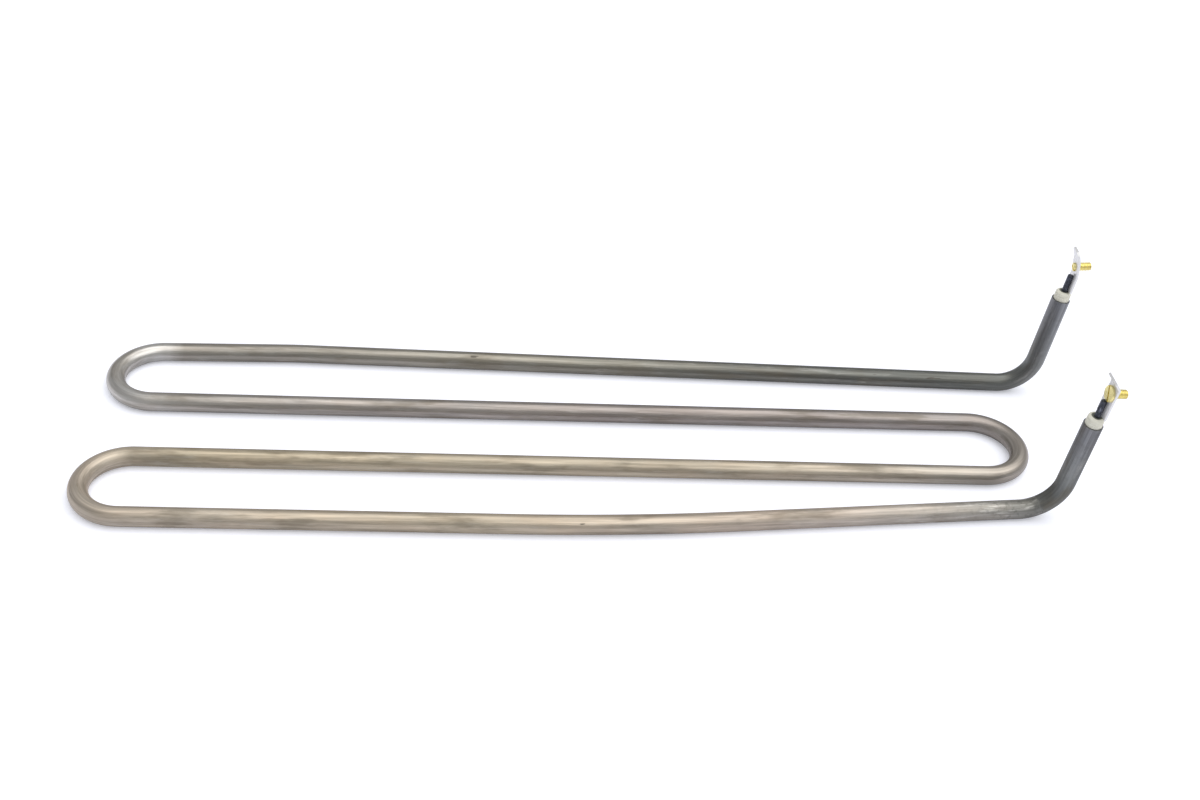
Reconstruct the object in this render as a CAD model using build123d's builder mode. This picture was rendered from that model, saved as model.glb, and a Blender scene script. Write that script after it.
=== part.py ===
from build123d import *
import os
from math import cos, radians

# Tubular heating element, 8.5 mm, bent as a four-leg serpentine that lies flat, with both
# ends turned up to screw terminals. Millimetres. The legs run along X with the terminals
# at the +X end, leg 1 is the back one (+Y) and leg 4 the front one, and Z = 0 is the floor.

# Sheath: one seamless steel tube
sheath_d = 8.5
sheath_wall = 0.8
bend_r = 19.5  # centreline radius of the three U-bends
right_bend_angle = 180.0
middle_leg = 372.0  # straight run of legs 2 and 3 between the U-bends

# Leg 1 was bent a little short of a half turn and then set inwards just past the bend
back_bend_angle = 178.5
back_leg_root = 55.0
back_set_r = 200.0
back_set_angle = 2.8
back_leg_extra = 8.1  # hot length that leg 1 has over a middle leg

# Leg 4 bows inwards over a long, soft set
front_bend_angle = 180.0
front_leg_root = 160.0
front_set_r = 1020.0
front_set_angle = 5.4
front_leg_short = 5.7  # hot length that leg 4 lacks against a middle leg

# Cold ends: the last of the leg, the bend up and the straight riser
cold_leg = 15.0
end_bend_r = 17.0
riser_length = 33.8
back_end_angle, back_end_lean = 83.3, 1.0  # the lean is positive towards leg 1's side
front_end_angle, front_end_lean = 86.6, -5.4

# Inside the tube
powder_gap = 0.02  # rolled tight round everything, this much is left for the faces
coil_d = 3.6  # outside of the resistance wire's turns
seal_length = 4.0

# Ceramic bush at each mouth
bush_d = 7.3
bush_height = 4.5
bush_chamfer = 0.8
bush_groove = 0.2
bush_groove_pitch = 1.0
bush_grooves = 3
spigot_length = 5.0
bush_gap = 0.05

# Terminal pin and the tab welded on its outer side
pin_d = 2.6
pin_dome = 0.5
pin_under_head = 0.1  # from the pin's top up to the screw's head
weld_flat = 0.2  # depth of the flat that the weld presses into the pin
tab_width = 8.0
tab_thickness = 1.0
tab_foot = 5.2  # tab's lower edge above the sheath's rim
set_above_pin = 0.3  # where the strip is first set over
set_r = 4.0
screw_height = 16.8
blade_root = 4.1  # from the screw's axis up to the bend of the blade
blade_length = 5.0
blade_bend_r = 1.2
back_tab_set, back_blade_angle = 12.0, 14.0  # both positive towards the legs' side
front_tab_set, front_blade_angle = -2.0, 42.0
blade_tip_chamfer = 1.6

# M4 brass terminal screws: a slotted headed one in front, a headless one at the back
screw_d = 4.0
tap_d = 3.3
screw_gap = 0.05  # all round between the thread's core and the tapped hole
screw_relief = 0.3  # the core shows this much past the tab's outer face
screw_reach = 6.2  # beyond the tab's outer face
screw_end_chamfer = 0.5
head_d = 7.2
head_height = 1.0
head_edge = 0.3
stud_stub = 1.0  # the headless screw's slotted end, proud of the inner face
slot_width = 0.9
slot_depth = 0.6
stud_slot_turn = 20.0
head_slot_turn = 60.0

bore_d = sheath_d - 2 * sheath_wall
pin_proud = screw_height - head_d / 2 - pin_under_head  # above the sheath's rim
face_x = pin_d / 2 - weld_flat  # the weld's face, out from the riser's axis
back_set_run = back_set_r * radians(back_set_angle)
front_set_run = front_set_r * radians(front_set_angle)
back_leg_rest = middle_leg + back_leg_extra - back_leg_root - back_set_run
front_leg_rest = middle_leg - front_leg_short - front_leg_root - front_set_run

# How far the tube and the back terminal reach from the right-hand U-bend's apex, which
# sets the origin under the middle of the element
left_reach = 2 * bend_r + middle_leg + sheath_d / 2
riser_reach = (riser_length + screw_height) * cos(radians(back_end_angle))
terminal_reach = pin_d / 2 + tab_thickness + screw_reach
right_reach = back_leg_extra + cold_leg + end_bend_r + riser_reach + terminal_reach - bend_r
apex_x = (left_reach - right_reach) / 2


# The hot run, bent both ways from the apex of the right-hand U-bend
with BuildLine(Plane.XY.offset(sheath_d / 2)) as hot_run:
    to_back = JernArc(
        start=(apex_x, 0), tangent=(0, 1), radius=bend_r, arc_size=right_bend_angle / 2
    )
    leg_2 = PolarLine(start=to_back @ 1, length=middle_leg, direction=to_back % 1)
    bend_1_2 = JernArc(
        start=leg_2 @ 1, tangent=leg_2 % 1, radius=bend_r, arc_size=-back_bend_angle
    )
    root_1 = PolarLine(start=bend_1_2 @ 1, length=back_leg_root, direction=bend_1_2 % 1)
    set_1 = JernArc(
        start=root_1 @ 1, tangent=root_1 % 1, radius=back_set_r, arc_size=-back_set_angle
    )
    leg_1 = PolarLine(start=set_1 @ 1, length=back_leg_rest, direction=set_1 % 1)

    to_front = JernArc(
        start=(apex_x, 0), tangent=(0, -1), radius=bend_r, arc_size=-right_bend_angle / 2
    )
    leg_3 = PolarLine(start=to_front @ 1, length=middle_leg, direction=to_front % 1)
    bend_3_4 = JernArc(
        start=leg_3 @ 1, tangent=leg_3 % 1, radius=bend_r, arc_size=front_bend_angle
    )
    root_4 = PolarLine(start=bend_3_4 @ 1, length=front_leg_root, direction=bend_3_4 % 1)
    set_4 = JernArc(
        start=root_4 @ 1, tangent=root_4 % 1, radius=front_set_r, arc_size=front_set_angle
    )
    leg_4 = PolarLine(start=set_4 @ 1, length=front_leg_rest, direction=set_4 % 1)


def cold_end(hot_leg, end_angle, end_lean):
    """Unheated end of the tube: on along the leg, round the end bend and up the riser.

    Gives the run and the plane of the mouth, with Z out of the tube and X on the tab's side.
    """
    along = hot_leg % 1
    across = along.cross(Vector(0, 0, 1)).rotate(Axis(hot_leg @ 1, along), -end_lean)
    upright = Plane(origin=hot_leg @ 1, x_dir=along, z_dir=across)
    with BuildLine(upright) as run:
        foot = Line((0, 0), (cold_leg, 0))
        turn = JernArc(start=foot @ 1, tangent=(1, 0), radius=end_bend_r, arc_size=end_angle)
        top = PolarLine(start=turn @ 1, length=riser_length, direction=turn % 1)
    axis = top % 1
    return run.line, Plane(origin=top @ 1, x_dir=axis.cross(upright.z_dir), z_dir=axis)


def side_of(mouth):
    """Plane through the mouth's axis: X on the tab's side, Y out along the axis."""
    return Plane(origin=mouth.origin, x_dir=mouth.x_dir, z_dir=-mouth.y_dir)


back_run, back_mouth = cold_end(leg_1, back_end_angle, back_end_lean)
front_run, front_mouth = cold_end(leg_4, front_end_angle, front_end_lean)
back_joint = Plane(origin=leg_1 @ 1, z_dir=leg_1 % 1)  # where a cold pin meets the coil
front_joint = Plane(origin=leg_4 @ 1, z_dir=leg_4 % 1)

with BuildLine() as whole_run:
    add(back_run)
    add(hot_run.line)
    add(front_run)


# Drawn steel sheath
with BuildPart() as sheath:
    with BuildSketch(back_mouth):
        Circle(sheath_d / 2)
        Circle(bore_d / 2, mode=Mode.SUBTRACT)
    sweep(path=whole_run.line)


# Resistance coil, as the envelope of its turns and the powder inside them
with BuildPart() as resistance_coil:
    with BuildSketch(back_joint):
        Circle(coil_d / 2)
    sweep(path=hot_run.line)


# Magnesia powder, rolled hard round the coil and the pins
with BuildPart() as magnesia_core:
    with BuildSketch(back_joint):
        Circle(bore_d / 2 - powder_gap)
        Circle(coil_d / 2 + powder_gap, mode=Mode.SUBTRACT)
    sweep(path=hot_run.line)
    for run, joint, mouth in (
        (back_run, back_joint, back_mouth),
        (front_run, front_joint, front_mouth),
    ):
        with BuildSketch(joint):
            Circle(bore_d / 2 - powder_gap)
            Circle(pin_d / 2 + powder_gap, mode=Mode.SUBTRACT)
        sweep(path=run)
        with BuildSketch(mouth):
            Circle(sheath_d / 2)
        extrude(amount=-spigot_length - seal_length, mode=Mode.SUBTRACT)


def terminal_pin(run, joint, mouth):
    """Cold pin from the coil's end up to its domed top, flattened where the tab is welded."""
    with BuildPart() as pin:
        with BuildSketch(joint):
            Circle(pin_d / 2)
        sweep(path=run)
        with BuildSketch(mouth):
            Circle(pin_d / 2)
        extrude(amount=pin_proud)
        top_face = pin.faces().sort_by(Axis(mouth.origin, mouth.z_dir))[-1]
        fillet(top_face.edges(), pin_dome)
        with BuildSketch(mouth.offset(tab_foot)):
            with Locations((pin_d - weld_flat, 0)):
                Rectangle(pin_d, pin_d)
        extrude(amount=pin_proud, mode=Mode.SUBTRACT)
    return pin


def end_seal(mouth):
    """Resin ring that closes the tube below the bush."""
    with BuildPart() as seal:
        with BuildSketch(mouth.offset(-spigot_length)):
            Circle(bore_d / 2 - powder_gap)
            Circle(pin_d / 2 + powder_gap, mode=Mode.SUBTRACT)
        extrude(amount=-seal_length)
    return seal


def ceramic_bush(mouth):
    """Stepped steatite bush: its spigot is in the tube and its grooved collar on the rim."""
    with BuildPart() as bush:
        with BuildSketch(side_of(mouth)):
            with BuildLine():
                Polyline(
                    (pin_d / 2 + bush_gap, -spigot_length),
                    (bore_d / 2 - bush_gap, -spigot_length),
                    (bore_d / 2 - bush_gap, 0),
                    (bush_d / 2, 0),
                    (bush_d / 2, bush_height - bush_chamfer),
                    (bush_d / 2 - bush_chamfer, bush_height),
                    (pin_d / 2 + bush_gap, bush_height),
                    close=True,
                )
            make_face()
            middle_groove = (bush_d / 2, bush_height / 2)
            with Locations(middle_groove), GridLocations(0, bush_groove_pitch, 1, bush_grooves):
                Circle(bush_groove, mode=Mode.SUBTRACT)
        revolve(axis=Axis(mouth.origin, mouth.z_dir))
    return bush


def tab_line(mouth, tab_set, blade_angle):
    """Inner face of the strip, edge on: up the weld, set over, past the screw and bent again.

    Gives the line and the plane on it at the screw's axis, with Z out through the tab.
    """
    set_height = pin_proud + set_above_pin
    screw_run = screw_height - set_height
    with BuildLine(side_of(mouth)) as line:
        weld = Line((face_x, tab_foot), (face_x, set_height))
        tab_bend = JernArc(start=weld @ 1, tangent=(0, 1), radius=set_r, arc_size=tab_set)
        upright = tab_bend % 1
        seat = tab_bend @ 1 + upright * screw_run
        strip = PolarLine(start=tab_bend @ 1, length=screw_run + blade_root, direction=upright)
        blade_bend = JernArc(
            start=strip @ 1, tangent=upright, radius=blade_bend_r, arc_size=blade_angle
        )
        PolarLine(start=blade_bend @ 1, length=blade_length, direction=blade_bend % 1)
    return line.line, Plane(origin=seat, x_dir=mouth.y_dir, z_dir=mouth.y_dir.cross(upright))


def terminal_tab(mouth, strip_line, seat):
    """Nickel-plated strip: welded to the pin, tapped for the screw, its blade bent back."""
    with BuildPart() as tab:
        with BuildSketch(side_of(mouth)):
            with BuildLine():
                add(side_of(mouth).to_local_coords(strip_line))
                offset(amount=tab_thickness, side=Side.RIGHT)
            make_face()
        extrude(amount=tab_width / 2, both=True)
        across = tab.edges().filter_by(lambda edge: abs(edge.length - tab_thickness) < 0.01)
        corners = across.sort_by(Axis(mouth.origin, mouth.z_dir))
        chamfer(corners[-2:], blade_tip_chamfer)
        with Locations(seat):
            Hole(tap_d / 2, depth=2 * tab_thickness)
    return tab


def terminal_screw(seat, top_d, top_height, slot_turn):
    """Brass screw through the tab: its slotted top on the inner side, its end outwards."""
    core_length = tab_thickness + screw_relief
    with BuildPart() as screw:
        with BuildSketch(seat):
            Circle(top_d / 2)
        extrude(amount=-top_height)
        slotted_face = screw.faces().sort_by(Axis(seat.origin, seat.z_dir))[0]
        chamfer(slotted_face.edges(), head_edge)
        with BuildSketch(seat):
            Circle(tap_d / 2 - screw_gap)
        extrude(amount=core_length)
        with BuildSketch(seat.offset(core_length)):
            Circle(screw_d / 2)
        extrude(amount=screw_reach - screw_relief)
        end_face = screw.faces().sort_by(Axis(seat.origin, seat.z_dir))[-1]
        chamfer(end_face.edges(), screw_end_chamfer)
        with BuildSketch(seat.offset(-top_height)):
            Rectangle(top_d, slot_width, rotation=slot_turn)
        extrude(amount=slot_depth, mode=Mode.SUBTRACT)
    return screw


back_strip, back_seat = tab_line(back_mouth, back_tab_set, back_blade_angle)
front_strip, front_seat = tab_line(front_mouth, front_tab_set, front_blade_angle)

pieces = {
    "sheath": sheath,
    "magnesia_core": magnesia_core,
    "resistance_coil": resistance_coil,
    "terminal_pin_back": terminal_pin(back_run, back_joint, back_mouth),
    "terminal_pin_front": terminal_pin(front_run, front_joint, front_mouth),
    "end_seal_back": end_seal(back_mouth),
    "end_seal_front": end_seal(front_mouth),
    "ceramic_bush_back": ceramic_bush(back_mouth),
    "ceramic_bush_front": ceramic_bush(front_mouth),
    "terminal_tab_back": terminal_tab(back_mouth, back_strip, back_seat),
    "terminal_tab_front": terminal_tab(front_mouth, front_strip, front_seat),
    "terminal_stud_back": terminal_screw(back_seat, screw_d, stud_stub, stud_slot_turn),
    "terminal_screw_front": terminal_screw(front_seat, head_d, head_height, head_slot_turn),
}

os.makedirs("parts", exist_ok=True)
for name, piece in pieces.items():
    piece.part.label = name
    export_step(piece.part, f"parts/{name}.step")
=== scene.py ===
import math

import bpy
from mathutils import Matrix, Vector


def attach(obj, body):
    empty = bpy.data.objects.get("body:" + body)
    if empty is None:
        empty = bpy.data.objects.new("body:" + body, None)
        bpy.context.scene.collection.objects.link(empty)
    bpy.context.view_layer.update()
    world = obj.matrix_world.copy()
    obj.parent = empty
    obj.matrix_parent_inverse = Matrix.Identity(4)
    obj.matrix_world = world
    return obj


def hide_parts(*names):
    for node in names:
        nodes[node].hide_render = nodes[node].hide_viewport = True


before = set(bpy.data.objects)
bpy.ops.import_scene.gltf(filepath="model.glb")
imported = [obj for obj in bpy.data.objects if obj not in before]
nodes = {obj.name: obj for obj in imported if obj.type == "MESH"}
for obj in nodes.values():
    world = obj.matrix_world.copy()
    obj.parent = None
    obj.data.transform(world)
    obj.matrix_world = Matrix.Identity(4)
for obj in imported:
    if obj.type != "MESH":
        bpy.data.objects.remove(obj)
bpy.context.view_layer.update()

# Sheath. One drawn stainless tube, 8.5 mm across, filled and rolled hard before it is bent cold
# round formers: four legs in one plane, then both ends up. It lies on the floor on its legs.
# Firing has tinted it: khaki in front, grey-brown in the middle, olive and blue-grey at the ends.
mm = 0.001
sheath_radius = 4.25 * mm
sheath_wall = 0.8 * mm
sheath_sides = 48
u_bend_radius = 19.5 * mm
middle_leg = 372 * mm
apex = Vector((190.123 * mm, 0, sheath_radius))
up = Vector((0, 0, 1))

back_bend_angle = 178.5
back_leg_root = 55 * mm
back_set_radius = 200 * mm
back_set_angle = 2.8
back_leg_rest = 315.326 * mm
front_leg_root = 160 * mm
front_set_radius = 1020 * mm
front_set_angle = 5.4
front_leg_rest = 110.167 * mm

cold_leg = 15 * mm
end_bend_radius = 17 * mm
riser_length = 33.8 * mm
back_end_angle, back_end_lean = 83.3, 1.0
front_end_angle, front_end_lean = 86.6, -5.4

bend_step = math.radians(3)
set_step = math.radians(0.4)


class Finish:
    """A piece's material and the nodes that colour it."""

    def __init__(self, name, **surface):
        self.material = bpy.data.materials.new(name)
        self.material.use_nodes = True
        self.nodes = self.material.node_tree.nodes
        self.links = self.material.node_tree.links
        self.surface = self.nodes["Principled BSDF"]
        self.set(self.surface, surface)

    def set(self, node, inputs):
        for socket, value in inputs.items():
            if isinstance(value, Value):
                self.links.new(value.socket, node.inputs[socket])
            else:
                node.inputs[socket].default_value = value

    def add(self, kind, settings=None, inputs=None, output=0):
        node = self.nodes.new(kind)
        for setting, value in (settings or {}).items():
            if setting == "stops":
                stops = node.color_ramp.elements
                while len(stops) < len(value):
                    stops.new(1)
                for stop, (place, colour) in zip(stops, value):
                    stop.position = place
                    stop.color = (*colour, 1)
            else:
                setattr(node, setting, value)
        self.set(node, inputs or {})
        return Value(self, node.outputs[output])

    def coat(self, **inputs):
        self.set(self.surface, {name.replace("_", " "): value for name, value in inputs.items()})

    def wear(self, piece):
        piece.data.materials.clear()
        piece.data.materials.append(self.material)

    def noise(self, place, scale, detail=3.0, roughness=0.5):
        inputs = {"Vector": place, "Scale": scale, "Detail": detail, "Roughness": roughness}
        return self.add("ShaderNodeTexNoise", inputs=inputs)

    def stretch(self, place, factors):
        inputs = {0: place, 1: factors}
        return self.add("ShaderNodeVectorMath", {"operation": "MULTIPLY"}, inputs)

    def step(self, value, low, high):
        """0 below low, 1 above high."""
        inputs = {"Value": value, "From Min": low, "From Max": high}
        return self.add("ShaderNodeMapRange", {"interpolation_type": "SMOOTHSTEP"}, inputs)

    def blend(self, share, painted_side, over, how="MIX"):
        settings = {"data_type": "RGBA", "blend_type": how}
        inputs = {0: share, 6: as_colour(painted_side), 7: as_colour(over)}
        return self.add("ShaderNodeMix", settings, inputs, output=2)

    def bump(self, height, distance):
        return self.add("ShaderNodeBump", inputs={"Height": height, "Distance": distance})


class Value:
    """A shader socket that Python's own arithmetic adds Math nodes to."""

    def __init__(self, finish, socket):
        self.finish, self.socket = finish, socket

    def math(self, operation, *terms):
        inputs = dict(enumerate(terms))
        return self.finish.add("ShaderNodeMath", {"operation": operation}, inputs)

    def __add__(self, other):
        return self.math("ADD", self, other)

    def __sub__(self, other):
        return self.math("SUBTRACT", self, other)

    def __rsub__(self, other):
        return self.math("SUBTRACT", other, self)

    def __mul__(self, other):
        return self.math("MULTIPLY", self, other)

    def __abs__(self):
        return self.math("ABSOLUTE", self)

    __radd__, __rmul__ = __add__, __mul__


def as_colour(colour):
    return colour if isinstance(colour, Value) else (*colour, 1)


def edit(piece):
    bpy.ops.object.select_all(action="DESELECT")
    bpy.context.view_layer.objects.active = piece
    piece.select_set(True)
    bpy.ops.object.mode_set(mode="EDIT")


def close_edit(piece, smooth_below=30):
    """Merges what lies on itself, turns the faces outwards and smooths all but sharp edges."""
    bpy.ops.mesh.select_all(action="SELECT")
    bpy.ops.mesh.remove_doubles(threshold=0.001 * mm)
    bpy.ops.mesh.normals_make_consistent(inside=False)
    bpy.ops.object.mode_set(mode="OBJECT")
    bpy.ops.object.shade_smooth_by_angle(angle=math.radians(smooth_below))


def put(piece, place):
    """Takes a piece that was made at the origin to its place, in its mesh."""
    bpy.ops.object.select_all(action="DESELECT")
    bpy.context.view_layer.objects.active = piece
    piece.select_set(True)
    piece.matrix_world = place
    bpy.ops.object.transform_apply(location=True, rotation=True, scale=True)


def apply(piece, kind, **settings):
    modifier = piece.modifiers.new(kind.title(), kind)
    for setting, value in settings.items():
        setattr(modifier, setting, value)
    bpy.context.view_layer.objects.active = piece
    bpy.ops.object.modifier_apply(modifier=modifier.name)


def ring(name, radius, place, sides):
    """An open ring square to the place's Z, in edit mode with all of it selected."""
    bpy.ops.object.select_all(action="DESELECT")
    bpy.ops.mesh.primitive_circle_add(vertices=sides, radius=radius)
    piece = bpy.context.object
    piece.name = piece.data.name = name
    put(piece, place)
    edit(piece)
    bpy.ops.mesh.select_all(action="SELECT")
    return piece


def facing(origin, z, x):
    """A place at origin with its Z and X along the given directions."""
    y = z.cross(x)
    return Matrix.Translation(origin) @ Matrix((x, y, z)).transposed().to_4x4()


class Bender:
    """Feeds the selected ring along and bends it, and keeps where it is and what it has made."""

    def __init__(self, place, heading):
        self.place, self.heading, self.fed = place.copy(), heading.copy(), 0.0
        self.sections = []

    def feed(self, length):
        self.place += self.heading * length
        self.fed += length
        bpy.ops.mesh.extrude_region_move(
            TRANSFORM_OT_translate={"value": self.heading * length}
        )
        self.sections.append((self.fed, self.place.copy(), self.heading.copy()))

    def bend(self, radius, degrees, axis, step=bend_step):
        angle = math.radians(degrees)
        centre = self.place + axis.cross(self.heading) * radius
        steps = max(2, math.ceil(angle / step))
        bpy.ops.mesh.spin(steps=steps, angle=angle, center=centre, axis=-axis)
        turn = Matrix.Rotation(angle / steps, 3, axis)
        for _ in range(steps):
            self.place = centre + turn @ (self.place - centre)
            self.heading = turn @ self.heading
            self.fed += radius * angle / steps
            self.sections.append((self.fed, self.place.copy(), self.heading.copy()))

    def cold_end(self, degrees, lean):
        """Cold leg, bend up and riser. Gives the place and heading before them, and the mouth."""
        start = (self.place.copy(), self.heading.copy())
        across = Matrix.Rotation(math.radians(-lean), 3, self.heading) @ self.heading.cross(up)
        self.feed(cold_leg)
        self.bend(end_bend_radius, degrees, across)
        self.feed(riser_length)
        return start, facing(self.place, self.heading, self.heading.cross(across))


# Both halves are bent outwards from the apex of the right-hand U-bend
to_leg_1 = Vector((0, 1, 0))
sheath = ring("sheath_tube", sheath_radius, facing(apex, to_leg_1, up), sheath_sides)
back = Bender(apex, to_leg_1)
back.bend(u_bend_radius, 90, up)
back.feed(middle_leg)
back.bend(u_bend_radius, back_bend_angle, -up)
back.feed(back_leg_root)
back.bend(back_set_radius, back_set_angle, -up, set_step)
back.feed(back_leg_rest)
back_joint, back_mouth = back.cold_end(back_end_angle, back_end_lean)

# The first ring, at the apex, is selected again for the other half
bpy.ops.mesh.select_all(action="DESELECT")
bpy.ops.object.mode_set(mode="OBJECT")
for vertex in sheath.data.vertices:
    vertex.select = abs(vertex.co.y) < 0.01 * mm and vertex.co.x > apex.x - 2 * sheath_radius
edit(sheath)
front = Bender(apex, -to_leg_1)
front.bend(u_bend_radius, 90, -up)
front.feed(middle_leg)
front.bend(u_bend_radius, 180, up)
front.feed(front_leg_root)
front.bend(front_set_radius, front_set_angle, up, set_step)
front.feed(front_leg_rest)
front_joint, front_mouth = front.cold_end(front_end_angle, front_end_lean)
bpy.ops.object.mode_set(mode="OBJECT")

# Where each point was in the straight tube, for the tint and the drawing marks to follow:
# distance from the apex, then sideways and up
sections = [(0.0, apex, to_leg_1)] + back.sections
sections += [(-fed, place, -heading) for fed, place, heading in front.sections]
unbent = sheath.data.attributes.new("unbent", "FLOAT_VECTOR", "POINT")
for index, (fed, place, heading) in enumerate(sections):
    sideways = up.cross(heading).normalized() if abs(heading.z) < 0.5 else to_leg_1
    upwards = heading.cross(sideways)
    for vertex in range(index * sheath_sides, (index + 1) * sheath_sides):
        offset = sheath.data.vertices[vertex].co - place
        unbent.data[vertex].vector = (fed, offset.dot(sideways), offset.dot(upwards))

edit(sheath)
close_edit(sheath)
apply(sheath, "SOLIDIFY", thickness=sheath_wall, offset=-1, use_rim=True)
bpy.ops.object.shade_smooth_by_angle(angle=math.radians(30))

steel = Finish("sheath_steel", Metallic=1.0)
in_tube = steel.add("ShaderNodeAttribute", {"attribute_name": "unbent"}, output=1)
fed = steel.add("ShaderNodeSeparateXYZ", inputs={"Vector": in_tube})
height = steel.add("ShaderNodeSeparateXYZ", inputs={"Vector": in_tube}, output=2)
tube_end = 915 * mm
drift = steel.noise(in_tube, 90, 4.0) - 0.5
tint_place = (fed + drift * (9 * mm)) * (0.5 / tube_end) + 0.5


def at(distance):
    """A distance along the tube from the apex, in mm, as the tint's place from 0 to 1."""
    return distance * mm * 0.5 / tube_end + 0.5


def drawn(along, across, detail, roughness=0.5):
    """Noise drawn out along the tube."""
    place = steel.stretch(in_tube, (along, across, across))
    return steel.noise(place, 1.0, detail, roughness)


khaki = (0.52, 0.455, 0.345)
blue_grey = (0.175, 0.178, 0.188)
tint = steel.add(
    "ShaderNodeValToRGB",
    {
        "stops": [
            (at(-899), blue_grey),
            (at(-872), (0.18, 0.185, 0.18)),
            (at(-852), (0.21, 0.21, 0.195)),
            (at(-836), (0.36, 0.345, 0.315)),
            (at(-800), (0.51, 0.465, 0.415)),
            (at(-740), (0.52, 0.45, 0.385)),
            (at(-600), (0.50, 0.435, 0.34)),
            (at(-432), (0.56, 0.495, 0.42)),
            (at(-380), khaki),
            (at(-120), (0.47, 0.415, 0.335)),
            (at(-30), (0.42, 0.385, 0.34)),
            (at(40), (0.32, 0.29, 0.275)),
            (at(200), (0.335, 0.30, 0.28)),
            (at(385), (0.39, 0.365, 0.335)),
            (at(414), (0.54, 0.52, 0.495)),
            (at(464), (0.58, 0.565, 0.54)),
            (at(467), (0.35, 0.325, 0.29)),
            (at(640), (0.30, 0.285, 0.245)),
            (at(740), (0.165, 0.165, 0.15)),
            (at(845), (0.15, 0.155, 0.145)),
            (at(865), (0.17, 0.175, 0.165)),
            (at(885), (0.155, 0.16, 0.16)),
            (at(912), blue_grey),
        ]
    },
    {"Fac": tint_place},
)
streaks = steel.step(drawn(14, 520, 5.0, 0.62), 0.30, 0.70)
fine_streaks = steel.step(drawn(45, 1500, 4.0, 0.6), 0.30, 0.70)
clouds = drawn(45, 170, 5.0, 0.65)
burnt = steel.step(drawn(30, 150, 4.0, 0.6), 0.50, 0.68)
rubbed = steel.step(drawn(55, 420, 4.0, 0.7), 0.55, 0.72)
hairlines = drawn(60, 2600, 2.0)
nicks = steel.step(drawn(70, 480, 2.0), 0.745, 0.775)

# Painted shade under the legs, and painted light outside the bends of the turned-up ends
painted_side = steel.step(0 - height, -2.1 * mm, 1.3 * mm)
turned_up = steel.step(abs(fed), 862 * mm, 880 * mm)
# Painted shade: legs 20% darker on their lower side; painted light: ends 35% lighter outside the
# bend
painted_light_and_shade = 1 + painted_side * (turned_up * 0.55 - 0.2)
shade = (0.56 + streaks * 0.36 + fine_streaks * 0.24 + clouds * 0.24) * painted_light_and_shade
grey = steel.add("ShaderNodeCombineColor", inputs={0: shade, 1: shade, 2: shade})
tinted = steel.blend(1.0, tint, grey, "MULTIPLY")
warmth = steel.blend(clouds, (1.07, 0.98, 0.90), (0.95, 1.01, 1.06))
tinted = steel.blend(0.9, tinted, warmth, "MULTIPLY")
tinted = steel.blend(burnt * 0.42, tinted, (0.17, 0.145, 0.105))

# Silvery, mottled scuffs where the front leg runs into its end bend, thin ones elsewhere
scuffed = steel.step(fed, -862 * mm, -848 * mm) * steel.step(0 - fed, 778 * mm, 812 * mm)
tinted = steel.blend(rubbed * (0.16 + scuffed * 0.50), tinted, (0.72, 0.70, 0.66))
mottle = steel.step(steel.noise(in_tube, 420, 4.0, 0.65), 0.50, 0.62)
bruised = scuffed * (0.10 + 0.28 * steel.step(0 - fed, 818 * mm, 842 * mm))
tinted = steel.blend(mottle * (bruised + turned_up * 0.16), tinted, (0.10, 0.10, 0.09))
tinted = steel.blend(nicks * 0.75, tinted, (0.07, 0.06, 0.05))

# The front legs are a little duller
front_half = steel.step(0 - fed, 20 * mm, 160 * mm)
steel.coat(
    Base_Color=tinted,
    Roughness=0.37 + front_half * 0.12 - streaks * 0.08 + clouds * 0.12 + burnt * 0.10,
    Normal=steel.bump(hairlines * 0.6 + fine_streaks * 0.25 + clouds * 0.5, 0.05 * mm),
)
steel.wear(sheath)
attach(sheath, "root")
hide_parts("sheath")

# Filling. Magnesia powder rolled hard round the coil of resistance wire and the cold pins, and
# a resin ring that keeps the damp out below each bush. All of it is shut inside the tube.
magnesia = Finish("magnesia", Metallic=0.0)
here = magnesia.add("ShaderNodeTexCoord", output=3)
grains = magnesia.noise(here, 3500, 4.0, 0.6)
magnesia.coat(
    Base_Color=magnesia.blend(grains, (0.80, 0.79, 0.75), (0.92, 0.91, 0.88)),
    Roughness=0.85 + grains * 0.1,
    Normal=magnesia.bump(grains, 0.05 * mm),
)
magnesia.wear(nodes["magnesia_core"])

coil_wire = Finish("coil_wire", Metallic=1.0)
here = coil_wire.add("ShaderNodeTexCoord", output=3)
turns = coil_wire.add(
    "ShaderNodeTexWave", {"bands_direction": "X"}, {"Vector": here, "Scale": 330.0}, output=1
)
scale = coil_wire.noise(here, 900)
coil_wire.coat(
    Base_Color=coil_wire.blend(scale, (0.22, 0.21, 0.21), (0.46, 0.44, 0.42)),
    Roughness=0.35 + scale * 0.25,
    Normal=coil_wire.bump(turns, 0.15 * mm),
)
coil_wire.wear(nodes["resistance_coil"])

resin = Finish("resin", Metallic=0.0)
here = resin.add("ShaderNodeTexCoord", output=3)
cure = resin.noise(here, 700, 3.0)
resin.coat(
    Base_Color=resin.blend(cure, (0.44, 0.20, 0.13), (0.60, 0.33, 0.24)),
    Roughness=0.35 + cure * 0.2,
    Normal=resin.bump(cure, 0.05 * mm),
)
resin.wear(nodes["end_seal_back"])
resin.wear(nodes["end_seal_front"])

# Terminal pins. Steel rod, 2.6 mm, that runs from the coil's end round the end bend and out of
# the tube. Heat has blued it nearly black, and its top is ground to a small dome.
pin_radius = 1.3 * mm
pin_sides = 32
pin_proud = 13.1 * mm
pin_dome = 0.5 * mm
dome_steps = 6
weld_flat = 0.2 * mm
tab_face = pin_radius - weld_flat
tab_foot = 5.2 * mm

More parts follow.
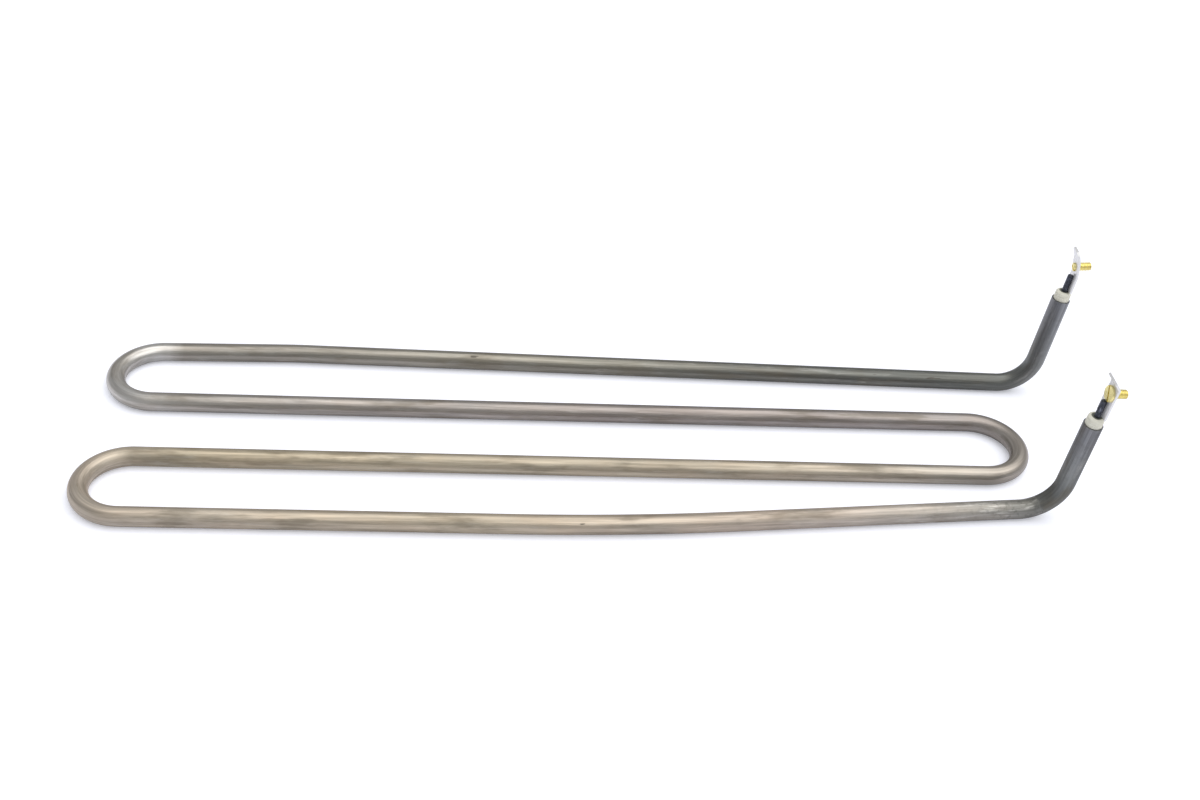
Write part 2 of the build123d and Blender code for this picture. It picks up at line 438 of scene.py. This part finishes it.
pin_steel = Finish("pin_steel", Metallic=0.75)
here = pin_steel.add("ShaderNodeTexCoord", output=3)
scale = pin_steel.noise(here, 900, 4.0, 0.6)
rubs = pin_steel.noise(pin_steel.stretch(here, (2200, 2200, 260)), 1.0, 3.0)
mottle = pin_steel.step(scale, 0.35, 0.7)
blued = pin_steel.blend(mottle, (0.042, 0.046, 0.058), (0.105, 0.115, 0.15))
pin_steel.coat(
    Base_Color=pin_steel.blend(pin_steel.step(rubs, 0.55, 0.72), blued, (0.26, 0.27, 0.33)),
    Roughness=0.38 + scale * 0.25,
    Normal=pin_steel.bump(scale + rubs * 0.5, 0.05 * mm),
)


def box(name, low, high):
    """A block between two corners."""
    bpy.ops.object.select_all(action="DESELECT")
    bpy.ops.mesh.primitive_cube_add(size=1)
    piece = bpy.context.object
    piece.name = piece.data.name = name
    low, high = Vector(low), Vector(high)
    put(piece, Matrix.Translation((low + high) / 2) @ Matrix.Diagonal((*(high - low), 1)))
    return piece


def cut(piece, tool, operation="DIFFERENCE"):
    apply(piece, "BOOLEAN", operation=operation, object=tool, solver="EXACT")
    bpy.data.objects.remove(tool)


def terminal_pin(name, node, joint, degrees, lean, mouth):
    place, heading = joint
    sideways = up.cross(heading).normalized()
    pin = ring(name, pin_radius, facing(place, heading, sideways), pin_sides)
    bpy.ops.mesh.edge_face_add()
    bpy.ops.mesh.select_all(action="SELECT")
    rod = Bender(place, heading)
    rod.cold_end(degrees, lean)
    rod.feed(pin_proud - pin_dome)
    height, width = 0.0, pin_radius
    for turn in range(1, dome_steps + 1):
        tilt = math.radians(90 * turn / dome_steps)
        next_height = pin_dome * math.sin(tilt)
        next_width = pin_radius - pin_dome * (1 - math.cos(tilt))
        rod.feed(next_height - height)
        bpy.ops.transform.resize(value=(next_width / width,) * 3, center_override=rod.place)
        height, width = next_height, next_width
    bpy.ops.mesh.edge_face_add()
    close_edit(pin, 40)
    grind = box(
        "grind", (tab_face, -2 * mm, tab_foot), (tab_face + 4 * mm, 2 * mm, tab_foot + 12 * mm)
    )
    put(grind, mouth)
    cut(pin, grind)
    edit(pin)
    close_edit(pin, 40)
    pin_steel.wear(pin)
    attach(pin, "root")
    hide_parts(node)


terminal_pin(
    "pin_back", "terminal_pin_back", back_joint, back_end_angle, back_end_lean, back_mouth
)
terminal_pin(
    "pin_front", "terminal_pin_front", front_joint, front_end_angle, front_end_lean, front_mouth
)

# Ceramic bushes. Unglazed cream steatite, pressed and fired, with a rough layered side. The
# spigot sits in the tube's mouth round the pin, and the collar rests on the rim. The top is
# coloured dark round the foot of the pin.
bush_sides = 64
bush_outline = [  # radii and heights over the rim, in mm
    (1.35, -5.0), (3.40, -5.0), (3.40, 0.0), (3.58, 0.0), (3.65, 0.10), (3.65, 1.12),
    (3.52, 1.20), (3.52, 1.30), (3.65, 1.38), (3.65, 2.12), (3.52, 2.20), (3.52, 2.30),
    (3.65, 2.38), (3.64, 3.12), (3.50, 3.20), (3.50, 3.30), (3.62, 3.40), (3.55, 3.75),
    (3.30, 4.10), (2.95, 4.38), (2.70, 4.47), (2.40, 4.50), (1.60, 4.50), (1.35, 4.38),
]

steatite = Finish("steatite", Metallic=0.0)
here = steatite.add("ShaderNodeTexCoord", output=3)
layers = steatite.noise(steatite.stretch(here, (300, 300, 1500)), 1.0, 5.0, 0.65)
grit = steatite.noise(here, 2600, 4.0, 0.7)
stain = steatite.step(steatite.noise(here, 260, 3.0), 0.45, 0.75)
from_pin = steatite.add("ShaderNodeAttribute", {"attribute_name": "from_pin"}, output=2)
# Dark round the foot of the pin, out to about 2.7 mm from its axis, with ragged edges
dark_round_pin = 1 - steatite.step(from_pin + layers * (0.8 * mm), 2.5 * mm, 2.9 * mm)
cream = steatite.blend(layers, (0.78, 0.755, 0.62), (0.94, 0.92, 0.82))
stained = steatite.blend(stain * 0.25, cream, (0.68, 0.65, 0.54))
steatite.coat(
    Base_Color=steatite.blend(dark_round_pin * 0.9, stained, (0.085, 0.095, 0.075)),
    Roughness=0.72 + grit * 0.2,
    Normal=steatite.bump(layers * 1.2 + grit * 0.6, 0.18 * mm),
)


def turned(name, outline, place, sides, hollow=False):
    """A piece of revolution from its outline of radii and heights, in mm."""
    radius, height = outline[0]
    start = place @ Matrix.Translation((0, 0, height * mm))
    piece = ring(name, radius * mm, start, sides)
    if not hollow:
        bpy.ops.mesh.edge_face_add()
        bpy.ops.mesh.select_all(action="SELECT")
    axis = place.to_3x3() @ up
    steps = outline[1:] + ([outline[0]] if hollow else [])
    for next_radius, next_height in steps:
        rise = axis * (next_height - height) * mm
        bpy.ops.mesh.extrude_region_move(TRANSFORM_OT_translate={"value": rise})
        middle = place @ Vector((0, 0, next_height * mm))
        bpy.ops.transform.resize(value=(next_radius / radius,) * 3, center_override=middle)
        radius, height = next_radius, next_height
    if not hollow:
        bpy.ops.mesh.edge_face_add()
    close_edit(piece, 40)
    return piece


for side, mouth in (("back", back_mouth), ("front", front_mouth)):
    bush = turned("bush_" + side, bush_outline, mouth, bush_sides, hollow=True)
    from_pin = bush.data.attributes.new("from_pin", "FLOAT", "POINT")
    for vertex in bush.data.vertices:
        place = mouth.inverted() @ vertex.co
        from_pin.data[vertex.index].value = math.hypot(place.x, place.y)
    steatite.wear(bush)
    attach(bush, "root")
    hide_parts("ceramic_bush_" + side)

# Terminal tabs. Strip of nickel-plated steel, 8 by 1 mm, stood against the flat of the pin and
# welded there. Each was set over by hand above the pin, tapped M4 for the screw, and its blade
# bent back over the legs: the front one far, the back one little.
tab_width = 8 * mm
tab_thickness = 1.0 * mm
tap_radius = 1.65 * mm
set_height = pin_proud + 0.3 * mm  # this and the screw's height are above the sheath's rim
set_radius = 4 * mm
screw_height = 16.8 * mm
blade_root = 4.1 * mm
blade_length = 5 * mm
blade_bend_radius = 1.2 * mm
tip_chamfer = 1.6 * mm
tab_edge = 0.12 * mm
back_tab_set, back_blade_angle = 12, 14
front_tab_set, front_blade_angle = -2, 42

nickel = Finish("tab_nickel", Metallic=0.7)
here = nickel.add("ShaderNodeTexCoord", output=3)
rolled = nickel.noise(nickel.stretch(here, (500, 500, 3200)), 1.0, 3.0)
haze = nickel.noise(here, 420, 4.0, 0.6)
nickel.coat(
    Base_Color=nickel.blend(haze, (0.80, 0.79, 0.785), (0.90, 0.89, 0.885)),
    Roughness=0.34 + haze * 0.2,
    Normal=nickel.bump(rolled * 0.6 + haze, 0.02 * mm),
)


def terminal_tab(side, mouth, tab_set, blade_angle):
    """Makes the tab and gives the screw's seat on its inner face, Z out through the tab."""
    across, heading = mouth.to_3x3().col[1], mouth.to_3x3().col[2]
    bpy.ops.object.select_all(action="DESELECT")
    bpy.ops.mesh.primitive_plane_add(size=1)
    tab = bpy.context.object
    tab.name = tab.data.name = "tab_" + side
    foot = Matrix.Translation((tab_face + tab_thickness / 2, 0, tab_foot))
    put(tab, mouth @ foot @ Matrix.Diagonal((tab_thickness, tab_width, 1, 1)))
    edit(tab)
    bpy.ops.mesh.select_all(action="SELECT")
    bpy.ops.mesh.bevel(offset=tab_edge, segments=3, affect="VERTICES")
    bpy.ops.mesh.select_all(action="SELECT")
    bpy.ops.mesh.delete(type="ONLY_FACE")
    bpy.ops.mesh.select_mode(type="EDGE")
    bpy.ops.mesh.select_all(action="SELECT")
    strip = Bender(mouth @ Vector((tab_face, 0, tab_foot)), heading)
    strip.feed(set_height - tab_foot)
    strip.bend(set_radius, abs(tab_set), -across if tab_set > 0 else across)
    screw_run = screw_height - set_height
    seat = facing(strip.place + strip.heading * screw_run, across.cross(strip.heading), across)
    strip.feed(screw_run + blade_root)
    strip.bend(blade_bend_radius, blade_angle, -across)
    strip.feed(blade_length)
    bpy.ops.mesh.select_all(action="SELECT")
    bpy.ops.mesh.fill_holes(sides=0)
    for edge in (across, -across):
        bpy.ops.mesh.select_all(action="SELECT")
        bpy.ops.mesh.bisect(
            plane_co=strip.place + edge * (tab_width / 2 - tip_chamfer),
            plane_no=strip.heading + edge, use_fill=True, clear_outer=True,
        )
    close_edit(tab)
    bpy.ops.object.select_all(action="DESELECT")
    bpy.ops.mesh.primitive_cylinder_add(vertices=48, radius=tap_radius, depth=4 * mm)
    drill = bpy.context.object
    put(drill, seat)
    cut(tab, drill)
    edit(tab)
    close_edit(tab, 35)
    nickel.wear(tab)
    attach(tab, "root")
    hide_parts("terminal_tab_" + side)
    return seat


back_seat = terminal_tab("back", back_mouth, back_tab_set, back_blade_angle)
front_seat = terminal_tab("front", front_mouth, front_tab_set, front_blade_angle)

# Terminal screws. M4, turned from brass: a slotted head on the inner side in front, and a
# headless slotted screw at the back. Both stand out of the tab to take a lug and a nut.
screw_sides = 48
core_radius = 1.6 * mm
thread_radius = 2.0 * mm
thread_root = 1.58 * mm
thread_steps = 36
pitch = 0.7 * mm
relief = 0.3 * mm
screw_reach = 6.2 * mm
slot_width = 0.9 * mm
slot_depth = 0.6 * mm
back_slot_turn, front_slot_turn = 20, 60
stub_outline = [(1.75, -1.0), (1.9, -0.93), (2.0, -0.75), (2.0, -0.02), (1.98, 0)]
head_outline = [(3.3, -1.0), (3.45, -0.95), (3.56, -0.82), (3.6, -0.65), (3.6, -0.2), (3.5, 0)]

brass = Finish("screw_brass", Metallic=1.0)
here = brass.add("ShaderNodeTexCoord", output=3)
tarnish = brass.noise(here, 650, 4.0, 0.6)
turning = brass.noise(brass.stretch(here, (6000, 600, 600)), 1.0, 2.0)
dulled = brass.step(tarnish, 0.35, 0.75)
brass.coat(
    Base_Color=brass.blend(dulled, (0.97, 0.86, 0.40), (0.82, 0.71, 0.34)),
    Roughness=0.28 + tarnish * 0.2,
    Normal=brass.bump(turning * 0.5 + tarnish * 0.5, 0.02 * mm),
)


def threaded_shank(name, low, high):
    """A helical M4 thread between two heights, closed at both ends."""
    crest = [
        (thread_root, 0), (thread_radius, 0.30), (thread_radius, 0.42), (thread_root, 0.72),
        (thread_root, 1),
    ]
    points = [Vector((radius, 0, low + (share - 1) * pitch)) for radius, share in crest]
    bpy.ops.object.select_all(action="DESELECT")
    bpy.ops.mesh.primitive_plane_add(size=1 * mm)
    shank = bpy.context.object
    shank.name = shank.data.name = name
    edit(shank)
    bpy.ops.mesh.select_mode(type="VERT")
    bpy.ops.mesh.select_all(action="SELECT")
    bpy.ops.mesh.merge(type="CENTER")
    bpy.ops.transform.translate(value=points[0])
    for before, point in zip(points, points[1:]):
        bpy.ops.mesh.extrude_region_move(TRANSFORM_OT_translate={"value": point - before})
    bpy.ops.object.mode_set(mode="OBJECT")
    turns = math.ceil((high - low) / pitch) + 2
    apply(
        shank, "SCREW", axis="Z", steps=thread_steps, render_steps=thread_steps,
        iterations=turns, screw_offset=pitch,
        use_merge_vertices=True, merge_threshold=0.001 * mm,
    )
    edit(shank)
    for height, normal in ((low, (0, 0, -1)), (high, (0, 0, 1))):
        bpy.ops.mesh.select_all(action="SELECT")
        bpy.ops.mesh.remove_doubles(threshold=0.001 * mm)
        bpy.ops.mesh.bisect(
            plane_co=(0, 0, height), plane_no=normal, use_fill=True, clear_outer=True,
            threshold=0.0001 * mm,
        )
    close_edit(shank, 25)
    return shank


def terminal_screw(side, node, seat, top_outline, slot_turn):
    """Makes the screw along Z from its seat, with its top on the minus side, and puts it in."""
    core_end = tab_thickness + relief
    end = tab_thickness + screw_reach
    top = top_outline[0][1] * mm
    core_outline = [(core_radius / mm, 0), (core_radius / mm, core_end / mm + 0.1)]
    core = turned(
        "screw_" + side, top_outline + core_outline, Matrix.Identity(4), screw_sides
    )
    slot = box(
        "slot", (-5 * mm, -slot_width / 2, top - 1 * mm), (5 * mm, slot_width / 2, top + slot_depth)
    )
    put(slot, Matrix.Rotation(math.radians(slot_turn), 4, "Z"))
    cut(core, slot)
    # The thread is made too long, so that its end isn't flush with the end of the cone
    shank = threaded_shank("thread_" + side, core_end, end + 0.2 * mm)
    cone_outline = [(3.2, -1), (3.2, end / mm - 1.2), (1.45, end / mm)]
    cut(shank, turned("cone", cone_outline, Matrix.Identity(4), screw_sides), "INTERSECT")
    for part in (core, shank):
        put(part, seat)
    bpy.ops.object.select_all(action="DESELECT")
    shank.select_set(True)
    core.select_set(True)
    bpy.context.view_layer.objects.active = core
    bpy.ops.object.join()
    edit(core)
    close_edit(core, 30)
    brass.wear(core)
    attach(core, "root")
    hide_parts(node)


terminal_screw("back", "terminal_stud_back", back_seat, stub_outline, back_slot_turn)
terminal_screw("front", "terminal_screw_front", front_seat, head_outline, front_slot_turn)

# Floor, light and camera. Pale paper under one large soft light from above and a little from
# the right, with as much light again from all round. The camera sees the paper whiter than it
# lights the element, so that the ground goes white and keeps the shadow.
room_light = 0.48
room_seen = 1.0
paper_glow, mirrored_glow = 0.32, 0.12

bpy.ops.object.select_all(action="DESELECT")
bpy.ops.mesh.primitive_plane_add(size=12)
floor = bpy.context.object
floor.name = "floor"
paper = Finish("floor_paper", Metallic=0.0, Roughness=0.9)
paper.coat(Base_Color=(0.86, 0.87, 0.94, 1), Specular_IOR_Level=0.2)
seen = paper.add("ShaderNodeLightPath")
mirrored = paper.add("ShaderNodeLightPath", output=3)
glow = paper.add(
    "ShaderNodeEmission",
    inputs={
        "Color": (0.94, 0.95, 1, 1),
        "Strength": seen * paper_glow + mirrored * mirrored_glow,
    },
)
lit = Value(paper, paper.surface.outputs[0])
whitened = paper.add("ShaderNodeAddShader", inputs={0: lit, 1: glow})
paper.set(paper.nodes["Material Output"], {"Surface": whitened})
paper.wear(floor)

world = bpy.data.worlds.new("room")
bpy.context.scene.world = world
world.use_nodes = True
room = world.node_tree.nodes["Background"]
room.inputs["Color"].default_value = (0.96, 0.98, 1.0, 1)
ray = world.node_tree.nodes.new("ShaderNodeLightPath")
level = world.node_tree.nodes.new("ShaderNodeMapRange")
level.inputs["To Min"].default_value = room_light
level.inputs["To Max"].default_value = room_seen
world.node_tree.links.new(ray.outputs["Is Camera Ray"], level.inputs["Value"])
world.node_tree.links.new(level.outputs["Result"], room.inputs["Strength"])

softbox = bpy.data.lights.new("softbox", "SUN")
softbox.energy = 1.9
softbox.angle = math.radians(80)
softbox.color = (1.0, 0.995, 0.985)
lamp = bpy.data.objects.new("softbox", softbox)
lamp.rotation_euler = (math.radians(4), math.radians(18), 0)
bpy.context.scene.collection.objects.link(lamp)

eye = Vector((-56.36 * mm, -539.99 * mm, 426.50 * mm))
heading, tilt, roll = math.radians(5.651), math.radians(36.421), math.radians(4.8575)
lens = bpy.data.cameras.new("camera")
lens.sensor_width = 36
lens.lens = 46.09
lens.clip_start = 0.01
camera = bpy.data.objects.new("camera", lens)
camera.matrix_world = (
    Matrix.Translation(eye)
    @ Matrix.Rotation(-heading, 4, "Z")
    @ Matrix.Rotation(math.pi / 2 - tilt, 4, "X")
    @ Matrix.Rotation(roll, 4, "Z")
)
bpy.context.scene.collection.objects.link(camera)
bpy.context.scene.camera = camera
bpy.context.scene.view_settings.view_transform = "Standard"
